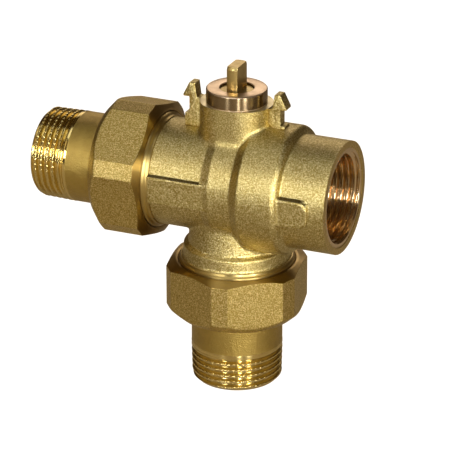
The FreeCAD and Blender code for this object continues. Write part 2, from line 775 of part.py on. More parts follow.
for item in doc.Objects:
    if "Invalid" in item.State or "Error" in item.State:
        raise RuntimeError(f"{item.Name} is {item.State}")
for sub_part in sub_parts:
    shape = sub_part.Shape
    if shape.isNull() or not shape.isValid() or len(shape.Solids) != 1:
        raise RuntimeError(f"{sub_part.Label} has no sound shape")
    print(f"{sub_part.Label}: {shape.Volume:.1f} mm3")
    shape.exportStep(os.path.join("parts", sub_part.Label + ".step"))
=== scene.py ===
import math

import bmesh
import bpy
import numpy as np
from mathutils import Matrix, Vector


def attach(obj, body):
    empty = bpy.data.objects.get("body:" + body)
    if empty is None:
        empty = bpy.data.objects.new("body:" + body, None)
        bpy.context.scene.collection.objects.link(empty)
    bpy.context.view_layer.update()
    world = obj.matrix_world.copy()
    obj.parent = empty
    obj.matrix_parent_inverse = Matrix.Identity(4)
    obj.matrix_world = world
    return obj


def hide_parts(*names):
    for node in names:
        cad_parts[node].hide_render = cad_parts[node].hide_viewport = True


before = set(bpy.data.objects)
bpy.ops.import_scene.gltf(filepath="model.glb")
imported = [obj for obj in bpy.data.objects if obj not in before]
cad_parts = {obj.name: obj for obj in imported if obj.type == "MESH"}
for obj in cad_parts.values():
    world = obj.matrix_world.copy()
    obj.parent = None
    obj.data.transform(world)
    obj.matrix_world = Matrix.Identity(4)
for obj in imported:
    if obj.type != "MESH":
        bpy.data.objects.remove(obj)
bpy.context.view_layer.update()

# Shapes are worked out in millimetres from the ball's centre, then placed in metres
MM = 0.001
BALL_HEIGHT = 75.6
TURN = 2 * math.pi
ALONG_RUN = Matrix(((0, 0, 1), (0, 1, 0), (-1, 0, 0)))
ALONG_LEFT = Matrix(((0, 0, -1), (0, 1, 0), (1, 0, 0)))
DOWN = Matrix(((1, 0, 0), (0, -1, 0), (0, 0, -1)))
UP = Matrix.Identity(3)


# Shader nodes; a Mix node's colours come in by sockets 6 and 7 and leave by socket 2
MIX_FIRST, MIX_SECOND, MIX_RESULT = 6, 7, 2


class Wire:
    """A node's output that can be used in arithmetic; each operator adds a Math node."""

    def __init__(self, paint, socket):
        self.paint = paint
        self.socket = socket

    def maths(self, operation, *values):
        return self.paint.node("ShaderNodeMath", {"operation": operation}, dict(enumerate(values)))

    def __add__(self, other):
        return self.maths("ADD", self, other)

    def __sub__(self, other):
        return self.maths("SUBTRACT", self, other)

    def __mul__(self, other):
        return self.maths("MULTIPLY", self, other)

    def __truediv__(self, other):
        return self.maths("DIVIDE", self, other)

    def size(self):
        return self.maths("ABSOLUTE", self)

    def most(self, other):
        return self.maths("MAXIMUM", self, other)

    def between(self, low, high, start=0.0, end=1.0):
        """Goes smoothly from start to end while this value goes from low to high."""
        settings = {"interpolation_type": "SMOOTHSTEP"}
        inputs = {"Value": self, "From Min": low, "From Max": high, "To Min": start, "To Max": end}
        return self.paint.node("ShaderNodeMapRange", settings, inputs)


class Paint:
    """A material, its Principled shader and the nodes that feed it."""

    def __init__(self, name, roughness, metallic=0.0, **settings):
        self.material = bpy.data.materials.new(name)
        self.material.use_nodes = True
        self.tree = self.material.node_tree
        self.shader = self.tree.nodes["Principled BSDF"]
        self.set("Roughness", roughness)
        self.set("Metallic", metallic)
        for socket, value in settings.items():
            self.set(socket.replace("_", " "), value)
        self.place = self.node("ShaderNodeTexCoord", {}, {}, "Object")

    def set(self, name, value):
        socket = self.shader.inputs[name]
        if isinstance(value, Wire):
            self.tree.links.new(value.socket, socket)
        else:
            socket.default_value = (*value, 1.0) if isinstance(value, tuple) and len(value) == 3 else value

    def node(self, kind, settings, inputs, output=0):
        made = self.tree.nodes.new(kind)
        for name, value in settings.items():
            if name == "stops":
                ramp = made.color_ramp.elements
                while len(ramp) < len(value):
                    ramp.new(0.5)
                for element, (position, colour) in zip(ramp, value):
                    element.position = position
                    element.color = (*colour, 1.0)
            else:
                setattr(made, name, value)
        for key, value in inputs.items():
            if isinstance(value, Wire):
                self.tree.links.new(value.socket, made.inputs[key])
            elif isinstance(value, tuple) and made.inputs[key].type == "RGBA":
                made.inputs[key].default_value = (*value, 1.0)
            else:
                made.inputs[key].default_value = value
        return Wire(self, made.outputs[output])

    def noise(self, size_mm, detail=2.0, roughness=0.5, stretch=(1, 1, 1)):
        """Noise whose features are about size_mm across; stretch lengthens them along x, y, z."""
        scale = tuple(1 / (MM * size_mm * s) for s in stretch)
        where = self.node("ShaderNodeMapping", {}, {"Vector": self.place, "Scale": scale}, "Vector")
        inputs = {"Vector": where, "Scale": 1.0, "Detail": detail, "Roughness": roughness}
        return self.node("ShaderNodeTexNoise", {}, inputs, "Fac")

    def mixed(self, share, first, second, blend="MIX"):
        inputs = {"Factor": share, MIX_FIRST: first, MIX_SECOND: second}
        return self.node("ShaderNodeMix", {"data_type": "RGBA", "blend_type": blend}, inputs, MIX_RESULT)

    def ramp(self, value, *stops):
        return self.node("ShaderNodeValToRGB", {"stops": stops}, {"Fac": value}, "Color")

    def bump(self, height, depth_mm, strength=1.0, under=None):
        inputs = {"Height": height, "Strength": strength, "Distance": depth_mm * MM}
        if under is not None:
            inputs["Normal"] = under
        return self.node("ShaderNodeBump", {}, inputs, "Normal")

    def soft_edges(self, radius_mm):
        return self.node("ShaderNodeBevel", {"samples": 6}, {"Radius": radius_mm * MM}, "Normal")

    def position(self):
        """The point's x, y and z in millimetres from the ball's centre."""
        x, y, z = [self.node("ShaderNodeSeparateXYZ", {}, {"Vector": self.place}, n) / MM for n in range(3)]
        return x, y, z - BALL_HEIGHT


# Finishes
BRASS_PALE = (0.86, 0.745, 0.39)
BRASS_MID = (0.52, 0.415, 0.15)
BRASS_DARK = (0.36, 0.255, 0.068)
NUT_PALE = (0.88, 0.71, 0.32)
NUT_MID = (0.52, 0.38, 0.105)
NUT_DARK = (0.36, 0.24, 0.056)
TURNED = (0.62, 0.455, 0.14)
# Near-black for painted shade along the folds above the flats
FOLD_SHADE_DARK = (0.06, 0.038, 0.012)
SMOOTH, LATHED = (1, 1, 1), (60, 60, 1)


def painted_fold_shade(paint):
    """Painted shade: a dark line along the upper edges of the flats on the arm and the port, where the step
    above each flat lies in shade.
    """
    x, y, z = paint.position()
    line = (z - 5.0).size().between(0.22, 0.45, 1.0, 0.0) * y.between(-18.4, -18.0, 1.0, 0.0)
    arm = x.between(-6.6, -6.1, 1.0, 0.0)
    port = x.between(24.3, 24.7) * x.between(33.2, 34.0, 1.0, 0.0)
    return line * (arm + port) * 0.85


def blasted_brass(name, grain_mm=0.5, pale=BRASS_PALE, mid=BRASS_MID, dark=BRASS_DARK, shaded_folds=False):
    """Forged brass after shot blasting: a fine even grain of pits, bright and dark by turns, with painted
    shade in its creases, and for the body painted shade along the folds above the flats.
    """
    paint = Paint(name, 0.42, 1.0)
    grain = paint.noise(grain_mm, 3.0, 0.66)
    pits = paint.noise(grain_mm * 2.1, 2.0, 0.55)
    cloud = paint.noise(6.5, 3.0, 0.55)
    tone = paint.noise(24.0, 2.0, 0.5)
    colour = paint.ramp(grain.between(0.34, 0.68), (0.0, dark), (0.45, mid), (1.0, pale))
    shade = (cloud * 0.5 + tone * 0.5).between(0.35, 0.65)
    colour = paint.mixed(shade * 0.25, colour, mid)
    # Painted shade: the colour is darkened towards the dark tone in creases and corners, where ambient
    # occlusion finds them shut in.
    crease_shade = paint.node("ShaderNodeAmbientOcclusion", {"samples": 8}, {"Distance": 1.2 * MM}, "AO")
    colour = paint.mixed(crease_shade.between(0.45, 0.86, 1.0, 0.0), colour, dark, "MULTIPLY")
    # Painted shade along the folds above the flats on the front
    if shaded_folds:
        colour = paint.mixed(painted_fold_shade(paint), colour, FOLD_SHADE_DARK)
    paint.set("Base Color", colour)
    paint.set("Roughness", (grain * 0.20 + cloud * 0.1) + 0.22)
    skin = paint.bump(cloud, 0.08, 0.6)
    skin = paint.bump(pits, 0.07, 0.9, skin)
    paint.set("Normal", paint.bump(grain, 0.16, 1.0, skin))
    return paint.material


def turned_brass(name, roughness, colour=TURNED, streaked=0.0, stretch=LATHED,
                 grain_mm=0.16, depth_mm=0.006):
    """Machined brass; streaked spreads its highlights along its axis, across the tool's rings."""
    paint = Paint(name, roughness, 1.0, Anisotropic=streaked, Anisotropic_Rotation=0.25)
    rings = paint.noise(grain_mm, 2.0, 0.6, stretch)
    film = paint.noise(3.5, 3.0, 0.6)
    tarnish = paint.noise(11.0, 2.0, 0.6)
    dark = tuple(c * 0.7 for c in colour)
    dulled = (film * 0.6 + tarnish * 0.4).between(0.38, 0.7) * 0.5
    paint.set("Base Color", paint.mixed(dulled, colour, dark))
    paint.set("Roughness", film.between(0.3, 0.7, roughness * 0.85, roughness * 1.2))
    paint.set("Normal", paint.bump(rings, depth_mm, 0.8, paint.soft_edges(0.15)))
    return paint.material


def plain_finish(name, colour, roughness, metallic=0.0, grain_mm=0.8, depth_mm=0.01):
    """Even finish with a slight mottle, for seals, seats and the plated ball."""
    paint = Paint(name, roughness, metallic)
    grain = paint.noise(grain_mm, 2.0, 0.5)
    cloud = paint.noise(grain_mm * 7, 2.0, 0.5)
    darker = tuple(c * 0.88 for c in colour)
    paint.set("Base Color", paint.mixed(cloud.between(0.35, 0.65), colour, darker))
    paint.set("Roughness", grain.between(0.3, 0.7, roughness * 0.85, roughness * 1.15))
    paint.set("Normal", paint.bump(grain, depth_mm, 0.6, paint.soft_edges(0.15)))
    return paint.material


FINISH = {
    "forged": blasted_brass("forged_body_brass", shaded_folds=True),
    "forged_nut": blasted_brass("forged_nut_brass", 0.43, NUT_PALE, NUT_MID, NUT_DARK),
    "turned": turned_brass("turned_brass_bores", 0.28, stretch=SMOOTH),
    # Painted light: the turned top of the neck takes a pale copy of the turned brass, as if lit from above.
    "turned_up": turned_brass("turned_neck_top_brass_painted_lit", 0.38, (0.80, 0.70, 0.42), stretch=SMOOTH),
    "collar": turned_brass("turned_collar_brass", 0.36, (0.50, 0.37, 0.13), 0.6),
    "socket": turned_brass("socket_thread_brass", 0.17, (0.80, 0.60, 0.34), 0.85),
    "tail": turned_brass("satin_tail_brass", 0.35, (0.53, 0.375, 0.098), 0.0, SMOOTH, 0.42, 0.26),
    "thread": turned_brass("tail_thread_brass", 0.19, (0.80, 0.63, 0.24), 0.94),
    "nut_bevel": turned_brass("nut_bevel_brass", 0.33, (0.37, 0.25, 0.072), 0.96),
    # Painted light and shade: the pilot ring's sides take a dark copy of the turned brass and its top a
    # pale one, as shaded and lit copies of one brass.
    "pilot": turned_brass("polished_pilot_brass_painted_dark", 0.23, (0.34, 0.25, 0.14), 0.98),
    "pilot_top": turned_brass("pilot_top_brass_painted_lit", 0.34, (0.84, 0.64, 0.42), stretch=SMOOTH),
    "stem": turned_brass("milled_stem_brass", 0.33, (0.56, 0.42, 0.16), stretch=SMOOTH, grain_mm=0.3),
    "ball": plain_finish("plated_ball", (0.80, 0.80, 0.79), 0.08, 1.0, grain_mm=3.0, depth_mm=0.001),
    "seat": plain_finish("white_seat_plastic", (0.86, 0.85, 0.80), 0.45),
    "seal": plain_finish("black_seal_rubber", (0.03, 0.03, 0.032), 0.55),
    "gasket": plain_finish("grey_gasket_fibre", (0.16, 0.19, 0.17), 0.8, grain_mm=0.4, depth_mm=0.03),
}


def finish_solids(finish, *nodes):
    for name in nodes:
        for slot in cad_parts[name].material_slots:
            slot.material = FINISH[finish]


finish_solids("forged", "valve_body")
finish_solids("forged_nut", "union_nut_lower", "union_nut_left")
finish_solids("tail", "tailpiece_lower", "tailpiece_left")
finish_solids("turned", "seat_retainer")
finish_solids("stem", "stem")
finish_solids("ball", "ball")
finish_solids("seat", "seat_left", "seat_right", "stem_thrust_washer")
finish_solids("seal", "stem_oring_lower", "stem_oring_upper", "seat_oring_left", "seat_oring_right",
              "retainer_oring")
finish_solids("gasket", "union_gasket_lower", "union_gasket_left")


# Meshes, in millimetres from the ball's centre
def whole_turn(count):
    return np.arange(count) * TURN / count


def stand_on(made, axis):
    """Puts a piece that was made about its own Z axis where the object has it."""
    made.matrix_world = Matrix.Translation((0, 0, BALL_HEIGHT * MM)) @ axis.to_4x4()
    made.data.transform(Matrix.Translation((0, 0, -BALL_HEIGHT * MM)))


def placed(points, axis):
    """Points on an axis of their own, as points of the object in metres."""
    turned = np.asarray(points, float).reshape(-1, 3) @ np.array(axis).T
    return (turned + (0, 0, BALL_HEIGHT)) * MM


def ring_grid(along, out, axis):
    """Closed ring: along and out are one closed outline for each of its angles."""
    spokes, rows = out.shape
    angle = whole_turn(spokes)[:, None]
    along = np.broadcast_to(along, out.shape)
    points = np.stack((out * np.cos(angle), out * np.sin(angle), along), -1)
    spoke, row = np.meshgrid(np.arange(spokes), np.arange(rows), indexing="ij")
    next_spoke, next_row = (spoke + 1) % spokes, (row + 1) % rows
    faces = np.stack((spoke * rows + row, next_spoke * rows + row,
                      next_spoke * rows + next_row, spoke * rows + next_row), -1)
    return placed(points, axis), faces.reshape(-1, 4)


def lathe(outline, axis, spokes=256):
    """Solid of revolution whose outline starts and ends on the axis."""
    outline = np.array(outline, float)
    inner = outline[1:-1]
    angle = whole_turn(spokes)
    points = [np.stack((r * np.cos(angle), r * np.sin(angle), np.full(spokes, s)), -1) for s, r in inner]
    points = np.concatenate(points + [[(0, 0, outline[0][0])], [(0, 0, outline[-1][0])]])
    first, last = len(inner) * spokes, len(inner) * spokes + 1
    faces = []
    for n in range(spokes):
        m = (n + 1) % spokes
        faces.append((first, m, n))
        faces += [(row * spokes + n, row * spokes + m, (row + 1) * spokes + m, (row + 1) * spokes + n)
                  for row in range(len(inner) - 1)]
        top = (len(inner) - 1) * spokes
        faces.append((last, top + n, top + m))
    return placed(points, axis), faces


def prism(outline, low, high, axis):
    """Solid with a flat outline, from low to high along its axis."""
    count = len(outline)
    points = [(a, b, low) for a, b in outline] + [(a, b, high) for a, b in outline]
    sides = [(n, (n + 1) % count, count + (n + 1) % count, count + n) for n in range(count)]
    return placed(points, axis), [tuple(reversed(range(count)))] + sides + [tuple(range(count, 2 * count))]


def mesh_of(name, *shapes):
    """One mesh from shapes given as points and faces, with its faces turned outwards."""
    points, faces, count = [], [], 0
    for shape_points, shape_faces in shapes:
        points.append(shape_points)
        faces += [tuple(int(i) + count for i in face) for face in shape_faces]
        count += len(shape_points)
    mesh = bpy.data.meshes.new(name)
    mesh.from_pydata(np.concatenate(points), [], faces)
    sorter = bmesh.new()
    sorter.from_mesh(mesh)
    bmesh.ops.recalc_face_normals(sorter, faces=sorter.faces)
    sorter.to_mesh(mesh)
    sorter.free()
    return mesh


def add_object(name, data):
    made = bpy.data.objects.new(name, data)
    bpy.context.scene.collection.objects.link(made)
    return made


def work_in_modifiers(made):
    """Replaces the object's mesh by what its modifiers make of it."""
    evaluated = made.evaluated_get(bpy.context.evaluated_depsgraph_get())
    mesh = bpy.data.meshes.new_from_object(evaluated)
    made.modifiers.clear()
    made.data = mesh


def cut_by(made, *shapes):
    for number, shape in enumerate(shapes):
        tool = add_object(f"tool_{number}", mesh_of(f"tool_{number}", shape))
        step = made.modifiers.new("cut", "BOOLEAN")
        step.operation = "DIFFERENCE"
        step.solver = "MANIFOLD"
        step.object = tool
        work_in_modifiers(made)
        bpy.data.objects.remove(tool)


def finished(made, body, finishes, sharp_deg=32, node=None):
    """Gives a piece its finishes, smooth shading and body; node is the solid it stands for, which is
    hidden.
    """
    made.data.materials.clear()
    for finish in finishes:
        made.data.materials.append(FINISH[finish])
    made.data.shade_smooth()
    made.data.set_sharp_from_angle(angle=math.radians(sharp_deg))
    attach(made, body)
    if node:
        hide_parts(node)


def face_values(mesh, name):
    values = np.empty(len(mesh.polygons) * 3, np.float32)
    mesh.polygons.foreach_get(name, values)
    return values.reshape(-1, 3)


def choose_finishes(made, numbers):
    """Gives each face the finish of that number."""
    made.data.polygons.foreach_set("material_index", numbers.astype(np.int32))


def rounded(corners, steps=6):
    """Closed outline whose corners, given as (along, out, radius), are rounded."""
    outline = []
    for index, (along, out, radius) in enumerate(corners):
        here = np.array((along, out), float)
        if radius == 0:
            outline.append(here)
            continue
        back = np.array(corners[index - 1][:2]) - here
        on = np.array(corners[(index + 1) % len(corners)][:2]) - here
        back, on = back / np.linalg.norm(back), on / np.linalg.norm(on)
        half = math.acos(np.clip(back @ on, -1, 1)) / 2
        centre = here + (back + on) / np.linalg.norm(back + on) * radius / math.sin(half)
        first = here + back * radius / math.tan(half) - centre
        last = here + on * radius / math.tan(half) - centre
        for step in range(steps + 1):
            share = step / steps
            spoke = first * (1 - share) + last * share
            outline.append(centre + spoke / np.linalg.norm(spoke) * radius)
    return np.array(outline)


def outline_distance(points, outline):
    """Distance from flat points to a closed outline, negative inside it."""
    nearest = np.full(len(points), 1e9)
    inside = np.zeros(len(points), bool)
    for start, end in zip(outline, np.roll(outline, -1, axis=0)):
        edge, offset = end - start, points - start
        share = np.clip(offset @ edge / (edge @ edge), 0, 1)
        nearest = np.minimum(nearest, np.linalg.norm(offset - share[:, None] * edge, axis=1))
        crosses = (points[:, 1] >= start[1]) != (points[:, 1] >= end[1])
        if start[1] != end[1]:
            reach = start[0] + (points[:, 1] - start[1]) / (end[1] - start[1]) * edge[0]
            inside ^= crosses & (points[:, 0] < reach)
    return np.where(inside, -nearest, nearest)


def merged(first, second, softness):
    """Union of two distances with a soft fillet between them."""
    overlap = np.maximum(softness - np.abs(first - second), 0) / softness
    return np.minimum(first, second) - overlap ** 2 * softness / 4


def clipped(first, second, softness):
    return -merged(-first, -second, softness)


def least(values, softness):
    """Smallest of several distances, with the edges between them rounded."""
    result = values[0]
    for value in values[1:]:
        result = merged(result, value, softness)
    return result


# Forged body: its edges and roots are softened as forging leaves them. Outlines are (along, out, radius)
ARM_END, PORT_REACH, SHOULDER = -26.9, 40.8, 30.2
TRIM = 1.2
SKIN_MM = 0.46
RUN = rounded([
    (ARM_END, -9, 0), (ARM_END, 19.3, 0.5), (-6.3, 19.3, 1.6), (-3.0, 20.4, 1.2), (5.5, 20.4, 1.0),
    (9.0, 23.2, 1.4), (24.0, 23.2, 2.6), (24.0, 20.3, 0.7), (PORT_REACH + TRIM, 20.3, 0),
    (PORT_REACH + TRIM, -9, 0)])
BRANCH_TOP = 15.8
BRANCH = rounded([
    (9, -9, 0), (-28.6, -9, 0), (-28.6, 20.5, 0.15), (-27.2, 19.35, 0.3), (-23.4, 19.05, 0.5),
    (-22.2, 17.5, 0.25), (-10.0, BRANCH_TOP, 2.0), (9, BRANCH_TOP, 0)])
NECK_FLAT, NECK_RADIUS = 2.2, 11.0
# Flats on the sides of the run: their heights, how far out they lie and where they start and end
FLAT_LOW, FLAT_HIGH = -5.4, 4.8
ARM_FLAT, ARM_FLAT_ENDS = 19.75, (ARM_END + 0.6, 6.0)
PORT_FLAT, PORT_FLAT_ENDS, PORT_FLAT_CORNER = 21.3, (19.0, 35.0), 1.35
# Grooves above the flats: their radius and height, and for each where it starts, ends and lies
FOLD_RADIUS, FOLD_HEIGHT = 0.5, FLAT_HIGH + 0.15
FOLDS = ((ARM_END, -6.4, 18.85), (24.4, 31.8, 19.95))
# Softness of the roots where the pieces of the forging meet
BRANCH_ROOT, NECK_ROOT, ARM_ROOT, PORT_ROOT = 1.3, 1.7, 0.25, 0.4


def flat_distance(points, ends, depth, radius):
    """Distance to a raised flat whose edges have a radius."""
    low = np.array((ends[0], 0, FLAT_LOW)) + radius
    high = np.array((ends[1], depth, FLAT_HIGH)) - radius
    out = np.maximum(low - points, points - high)
    return np.linalg.norm(np.maximum(out, 0), axis=1) + np.minimum(out.max(axis=1), 0) - radius


def forged_distance(points):
    """Distance in millimetres from points to the skin of the forging."""
    x, y, z = points.T
    run = outline_distance(np.stack((x, np.hypot(y, z)), -1), RUN)
    branch = outline_distance(np.stack((z, np.hypot(x, y)), -1), BRANCH)
    neck = np.hypot(np.maximum(np.abs(x) - NECK_FLAT, 0), y) - NECK_RADIUS
    neck = np.maximum(np.maximum(neck, z - SHOULDER - TRIM), -z)
    skin = merged(merged(run, branch, BRANCH_ROOT), neck, NECK_ROOT)
    side = np.stack((x, np.abs(y), z), -1)
    arm_flat = flat_distance(side, ARM_FLAT_ENDS, ARM_FLAT, 0.25)
    port_flat = flat_distance(side, PORT_FLAT_ENDS, PORT_FLAT, 0.6)
    middle, half = (FLAT_HIGH + FLAT_LOW) / 2, (FLAT_HIGH - FLAT_LOW) / 2
    corner = (x - PORT_FLAT_ENDS[1] + np.abs(z - middle) - half) / math.sqrt(2) + PORT_FLAT_CORNER
    port_flat = clipped(port_flat, corner, 1.2)
    skin = merged(merged(skin, arm_flat, ARM_ROOT), port_flat, PORT_ROOT)
    for low, high, out in FOLDS:
        along = np.maximum(np.maximum(low - x, x - high), 0)
        fold = np.sqrt(along ** 2 + (np.abs(y) - out) ** 2 + (z - FOLD_HEIGHT) ** 2) - FOLD_RADIUS
        skin = clipped(skin, -fold, 0.1)
    return skin


def onto_skin(points, rounds=3, step=0.01):
    """Moves points onto the skin along its slope."""
    for _ in range(rounds):
        distance = forged_distance(points)
        moved = [forged_distance(points + offset) - distance for offset in np.eye(3) * step]
        slope = np.stack(moved, -1) / step
        size = np.maximum((slope ** 2).sum(axis=1), 0.1)
        points = points - slope * np.clip(distance / size, -0.6, 0.6)[:, None]
    return points


def forging_blank(half_round=49):
    """Rough shape whose skin is then moved onto the forging's."""
    ends = np.radians(np.concatenate((np.linspace(-90, 90, half_round), np.linspace(90, 270, half_round))))
    middles = np.repeat((NECK_FLAT, -NECK_FLAT), half_round)
    obround = [(x + NECK_RADIUS * math.cos(a), NECK_RADIUS * math.sin(a)) for x, a in zip(middles, ends)]
    run = [(s, max(r, 0)) for s, r in RUN]
    branch = [(-s, max(r, 0)) for s, r in BRANCH[1:-1]]
    sides = []
    for depth, (low, high) in ((ARM_FLAT, ARM_FLAT_ENDS), (PORT_FLAT, PORT_FLAT_ENDS)):
        outline = [(-FLAT_HIGH, -depth), (-FLAT_LOW, -depth), (-FLAT_LOW, depth), (-FLAT_HIGH, depth)]
        sides.append(prism(outline, low, high, ALONG_RUN))
    drum = [(0, 0), (0, BRANCH_TOP)] + branch[::-1]
    return mesh_of("forging", lathe(run, ALONG_RUN), lathe(drum, DOWN),
                   prism(obround, 0, SHOULDER + TRIM, UP), *sides)


def make_forging():
    forging = add_object("forged_body", forging_blank())
    remesh = forging.modifiers.new("skin", "REMESH")
    remesh.mode = "VOXEL"
    remesh.voxel_size = SKIN_MM * MM
    work_in_modifiers(forging)
    mesh = forging.data
    points = np.empty(len(mesh.vertices) * 3, np.float32)
    mesh.vertices.foreach_get("co", points)
    points = onto_skin(points.reshape(-1, 3).astype(float) / MM - (0, 0, BALL_HEIGHT))
    mesh.vertices.foreach_set("co", ((points + (0, 0, BALL_HEIGHT)) * MM).astype(np.float32).ravel())
    mesh.update()
    return forging


# Faces this far under the forged skin are cut ones, and ones this level at the shoulder are turned
CUT_DEPTH, LEVEL, NEAR = 0.12, 0.98, 0.02


def make_body():
    """The forging, cut by its bores and turned faces, which are outlined as (along, out)."""
    forging = make_forging()
    run_bore = [(-45, 0), (-45, 16.6), (9.2, 16.6), (9.2, 14.45), (16.0, 14.45), (16.0, 11.0), (22.0, 11.0),
                (22.0, 16.75), (39.8, 16.75), (40.8, 17.9), (45, 22.7), (45, 0)]
    lower_bore = [(0, 0), (0, 11.0), (45, 11.0), (45, 0)]
    stem_bore = [(0, 0), (0, 8.5), (20.95, 8.5), (20.95, 6.0), (29.6, 6.0), (29.6, 10.4),
                 (SHOULDER, 10.4), (SHOULDER, 25), (40, 25), (40, 0)]
    mouth = [(PORT_REACH, 0), (PORT_REACH, 30), (45, 30), (45, 0)]
    cut_by(forging, lathe(run_bore, ALONG_RUN), lathe(lower_bore, DOWN), lathe(stem_bore, UP),
           lathe(mouth, ALONG_RUN))
    finished(forging, "valve", ("forged", "turned", "turned_up"), node="valve_body")
    centre = face_values(forging.data, "center").astype(float) / MM - (0, 0, BALL_HEIGHT)
    up = face_values(forging.data, "normal")[:, 2]
    cut = forged_distance(centre) < -CUT_DEPTH
    finish = np.where(cut | (centre[:, 0] > PORT_REACH - NEAR), 1, 0)
    # Painted light: the up-facing turned faces at the shoulder take the pale top finish.
    finish[(centre[:, 2] > SHOULDER - NEAR) & (up > LEVEL)] = 2
    choose_finishes(forging, finish)


# Threads
PITCH, DEPTH = 2.309, 1.479
ROWS_PER_TURN = 16
# Shares of half a turn that are the root and the flank, and how round the flank is
ROOT_SHARE, FLANK_SHARE, FLANK_ROUND = 0.16, 0.62, 0.35


def thread_height(along, spokes):
    """How far the ridge stands out of its root, from 0 to 1, over the angles and along the axis."""
    turns = np.asarray(along)[None, :] / PITCH - np.arange(spokes)[:, None] / spokes
    ramp = 1 - np.abs(2 * (turns % 1) - 1)
    share = np.clip((ramp - ROOT_SHARE) / FLANK_SHARE, 0, 1)
    return share * share * (3 - 2 * share) * FLANK_ROUND + share * (1 - FLANK_ROUND)


def ramp_between(along, low, high):
    """Goes smoothly from 0 to 1 between low and high."""
    share = np.clip((np.asarray(along) - low) / (high - low), 0, 1)
    return share * share * (3 - 2 * share)


def row_marks(low, high):
    return np.linspace(low, high, int((high - low) / PITCH * ROWS_PER_TURN) + 1)


def ring_of(parts, axis, spokes):
    """Closed ring from stretches of outline, each (along, out), where out may vary with the angle."""
    along = np.concatenate([np.atleast_1d(np.asarray(a, float)) for a, _ in parts])
    out = [np.broadcast_to(np.asarray(o, float), (spokes, np.size(a))) for a, o in parts]
    return ring_grid(along, np.concatenate(out, axis=1), axis)


# Tailpieces: threads with an axial knurl that grips the sealing hemp
TAIL_LENGTH, TAIL_THREAD, TAIL_MAJOR, TAIL_TAPER = 33.0, 14.2, 16.5, 0.24
TAIL_BARREL, TAIL_BORE = 16.42, 12.8
NOTCHES, NOTCH_STEPS, NOTCH_DEPTH = 53, 10, 0.22


def make_tail(side, axis, collar_start):
    spokes = NOTCHES * NOTCH_STEPS
    thread_start = TAIL_LENGTH - TAIL_THREAD
    rows = row_marks(thread_start - 0.3, TAIL_LENGTH - 0.02)
    major = TAIL_MAJOR - TAIL_TAPER * ramp_between(rows, thread_start, TAIL_LENGTH)
    run_in = ramp_between(rows, thread_start - 0.3, thread_start + 0.5)
    major = major - (TAIL_MAJOR - TAIL_BARREL) * (1 - run_in)
    height = thread_height(rows, spokes)
    root = major - DEPTH * 0.86 * ramp_between(rows, thread_start + 0.4, thread_start + 2.4)
    out = root + (major - root) * height
    phase = (np.arange(spokes) % NOTCH_STEPS + 0.5) / NOTCH_STEPS
    notch = np.clip(1.2 - np.abs(phase - 0.5) * 6.0, 0, 1)
    knurled = ramp_between(rows, thread_start + 2.6, thread_start + 3.4)
    knurled = knurled * (1 - ramp_between(rows, 32.0, 32.6))
    out = np.minimum(out, major[None, :] - NOTCH_DEPTH * notch[:, None] * knurled[None, :])
    out = np.minimum(out, (TAIL_LENGTH + 14.75 - rows)[None, :])
    plain = np.array([3.2, 3.35, 6.0, 9.0, 12.0, thread_start - 1.0])
    parts = [
        ([0.0, 0.0, 0.0], [TAIL_BORE, 16.0, 18.6]), ([0.3, 2.9, 3.2], [18.9, 18.9, 18.6]),
        (plain, TAIL_BARREL), (rows, out),
        ([TAIL_LENGTH, TAIL_LENGTH, TAIL_LENGTH - 0.4, 22.0, 11.0],
         [14.7, 13.2, TAIL_BORE, TAIL_BORE, TAIL_BORE])]
    parts = [(np.asarray(a, float) + collar_start, o) for a, o in parts]
    tail = add_object(f"tailpiece_{side}_threaded", mesh_of("tail", ring_of(parts, UP, spokes)))
    stand_on(tail, axis)
    finished(tail, f"{side}_tail", ("tail", "thread"), 40, f"tailpiece_{side}")
    height = np.array([face.center.z for face in tail.data.polygons]) / MM
    choose_finishes(tail, height > collar_start + thread_start - 0.1)


SPIGOT_MAJOR, SPIGOT_DEPTH = 20.9, DEPTH - 0.05


def make_spigot(side, axis, shoulder, reach, way, root_out, flare):
    """Threaded end inside a union, with the turned flare that shows between body and nut."""
    spokes = 360
    thread_start = shoulder + flare + 0.4
    rows = row_marks(thread_start, reach - 0.02)
    grows = ramp_between(rows, thread_start, thread_start + 1.2)
    root = SPIGOT_MAJOR - SPIGOT_DEPTH * grows
    out = root + (SPIGOT_MAJOR - root) * thread_height(rows, spokes)
    out = np.minimum(out, (reach + 19.75 - rows)[None, :])
    parts = [
        ([shoulder - 0.9, shoulder - 0.9, shoulder - 0.1], [way, root_out - 0.5, root_out - 0.3]),
        ([shoulder + 0.1, shoulder + flare * 0.5, shoulder + flare, shoulder + flare + 0.1],
         [root_out - 0.05, (root_out + SPIGOT_MAJOR) / 2 + 0.1, SPIGOT_MAJOR - 0.05, SPIGOT_MAJOR]),
        (rows, out), ([reach, reach, reach - 0.4, shoulder + 4], [19.3, way + 0.4, way, way])]
    spigot = add_object(f"spigot_{side}", mesh_of("spigot", ring_of(parts, UP, spokes)))
    stand_on(spigot, axis)
    finished(spigot, "valve", ("collar",), 40)


SOCKET_ROOT, SOCKET_MOUTH = 16.62, 16.5


def make_socket_thread():
    spokes, floor, mouth = 360, 22.2, 40.6
    rows = row_marks(floor, mouth)
    grows = ramp_between(rows, floor, floor + 1.4)
    inner = SOCKET_ROOT - DEPTH * thread_height(rows, spokes) * grows
    inner = np.maximum(inner, (SOCKET_MOUTH - (mouth - rows))[None, :])
    parts = [(rows, inner), ([mouth, floor], [17.7, 17.0])]
    ring = add_object("socket_thread", mesh_of("socket", ring_of(parts, UP, spokes)))
    stand_on(ring, ALONG_RUN)
    finished(ring, "valve", ("socket",), 40)


# Union nuts: forged hexagons with flattened corners, turned at the open end
NUT_LENGTH, HALF_FLATS, HALF_CORNERS = 20.2, 23.58, 25.5
NUT_BORE, NUT_LAND = 21.0, 16.97
# Bevels at the open and the closed end: the radius at the end face and how much it grows per millimetre
TURNED_BEVEL, FORGED_BEVEL = (22.1, 2.12), (21.7, 1.11)


